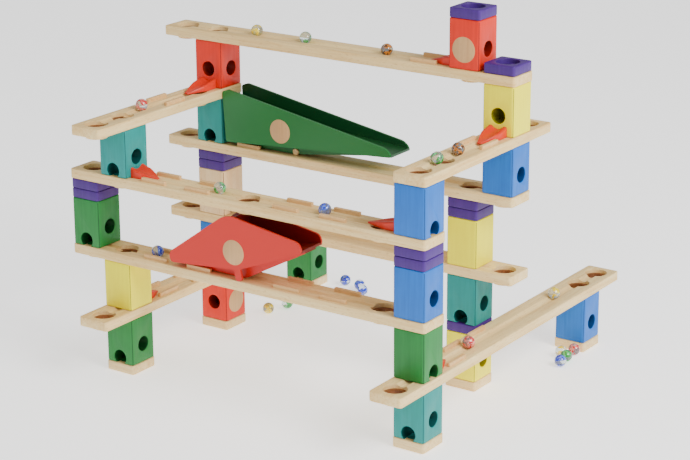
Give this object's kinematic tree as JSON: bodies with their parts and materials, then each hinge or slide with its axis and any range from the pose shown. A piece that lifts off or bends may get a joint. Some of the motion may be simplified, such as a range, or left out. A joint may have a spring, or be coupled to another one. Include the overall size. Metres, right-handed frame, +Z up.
{
  "type": "wooden marble run",
  "caption": "Marble run of coloured square blocks and grooved wooden rails on small bases, with two rocking troughs, ramp tongues and glass marbles",
  "frame": {"origin": "on the floor, under the middle of the run", "axes": "+X along the front rails to the right, +Y towards the back, +Z up"},
  "size_m": [0.546, 0.546, 0.4977],
  "materials": {
    "pale_wood": "bare beech, sanded",
    "red_paint": "stained and lacquered",
    "green_paint": "stained and lacquered",
    "teal_paint": "stained and lacquered",
    "blue_paint": "stained and lacquered",
    "yellow_paint": "stained and lacquered",
    "purple_paint": "stained and lacquered",
    "red_plastic": "glossy",
    "green_plastic": "glossy",
    "marble_glass": "clear with a coloured swirl"
  },
  "bodies": {
    "run": {"teal_block_front_right_1": "teal_paint", "green_block_front_right_2": "green_paint", "blue_block_front_right_3": "blue_paint", "blue_block_front_right_4": "blue_paint", "green_block_front_left_1": "green_paint", "yellow_block_front_left_2": "yellow_paint", "teal_block_front_left_4": "teal_paint", "green_block_far_left_3": "green_paint", "red_block_mid_left_1": "red_paint", "blue_block_mid_left_2": "blue_paint", "plain_wood_block_mid_left_3": "pale_wood", "teal_block_mid_left_4": "teal_paint", "red_block_mid_left_5": "red_paint", "yellow_block_mid_right_1": "yellow_paint", "teal_block_mid_right_2": "teal_paint", "yellow_block_mid_right_3": "yellow_paint", "blue_block_back_stack_4": "blue_paint", "yellow_block_back_stack_5": "yellow_paint", "red_block_top": "red_paint", "blue_block_back_right_1": "blue_paint", "green_block_back_left_1": "green_paint", "rail_top": "pale_wood", "rail_front_upper": "pale_wood", "rail_front_lower": "pale_wood", "rail_mid_upper": "pale_wood", "rail_mid_lower": "pale_wood", "rail_left_lower": "pale_wood", "rail_right_lower": "pale_wood", "rail_left_upper": "pale_wood", "rail_right_upper": "pale_wood", "spacer_pair_front_right": "purple_paint", "spacer_pair_far_left": "purple_paint", "spacer_pair_mid_left": "purple_paint", "spacer_pair_mid_right": "purple_paint", "spacer_mid_right_low": "purple_paint", "spacer_back_stack_top": "purple_paint", "spacer_top": "purple_paint", "tongue_top": "red_plastic", "tongue_left_upper": "red_plastic", "tongue_right_upper": "red_plastic", "tongue_front_upper_left": "red_plastic", "tongue_front_upper_right": "red_plastic", "tongue_left_lower": "red_plastic", "tongue_right_lower": "red_plastic", "base_front_right": "pale_wood", "base_front_left": "pale_wood", "base_mid_left": "pale_wood", "base_mid_right": "pale_wood", "base_back_right": "pale_wood", "base_back_left": "pale_wood", "green_seesaw_dowel": "pale_wood"},
    "red_seesaw_body": {"red_seesaw": "red_plastic"},
    "green_seesaw_body": {"green_seesaw": "green_plastic"},
    "marble_top_left_body": {"marble_top_left": "marble_glass"},
    "marble_top_middle_body": {"marble_top_middle": "marble_glass"},
    "marble_top_right_body": {"marble_top_right": "marble_glass"},
    "marble_front_upper_left_body": {"marble_front_upper_left": "marble_glass"},
    "marble_front_upper_right_body": {"marble_front_upper_right": "marble_glass"},
    "marble_front_lower_body": {"marble_front_lower": "marble_glass"},
    "marble_left_upper_body": {"marble_left_upper": "marble_glass"}
  },
  "joints": [
    {"name": "red_seesaw_rock", "type": "hinge", "parent": "run", "child": "red_seesaw_body", "pos_m": [0, -0.2, 0.171], "axis": [0, 1, 0], "range_deg": [0, 26.6]},
    {"name": "green_seesaw_rock", "type": "hinge", "parent": "run", "child": "green_seesaw_body", "pos_m": [-0.0635, 0, 0.273], "axis": [0, 1, 0], "range_deg": [0, 8]},
    {"name": "marble_top_left_roll", "type": "slide", "parent": "run", "child": "marble_top_left_body", "axis": [1, 0, 0], "range_m": [-0.04, 0.03]},
    {"name": "marble_top_middle_roll", "type": "slide", "parent": "run", "child": "marble_top_middle_body", "axis": [1, 0, 0], "range_m": [-0.03, 0.06]},
    {"name": "marble_top_right_roll", "type": "slide", "parent": "run", "child": "marble_top_right_body", "axis": [1, 0, 0], "range_m": [-0.045, 0.05]},
    {"name": "marble_front_upper_left_roll", "type": "slide", "parent": "run", "child": "marble_front_upper_left_body", "axis": [1, 0, 0], "range_m": [-0.07, 0.02]},
    {"name": "marble_front_upper_right_roll", "type": "slide", "parent": "run", "child": "marble_front_upper_right_body", "axis": [1, 0, 0], "range_m": [-0.08, 0.045]},
    {"name": "marble_front_lower_roll", "type": "slide", "parent": "run", "child": "marble_front_lower_body", "axis": [1, 0, 0], "range_m": [-0.028, 0.015]},
    {"name": "marble_left_upper_roll", "type": "slide", "parent": "run", "child": "marble_left_upper_body", "axis": [0, 1, 0], "range_m": [-0.015, 0.075]}
  ]
}
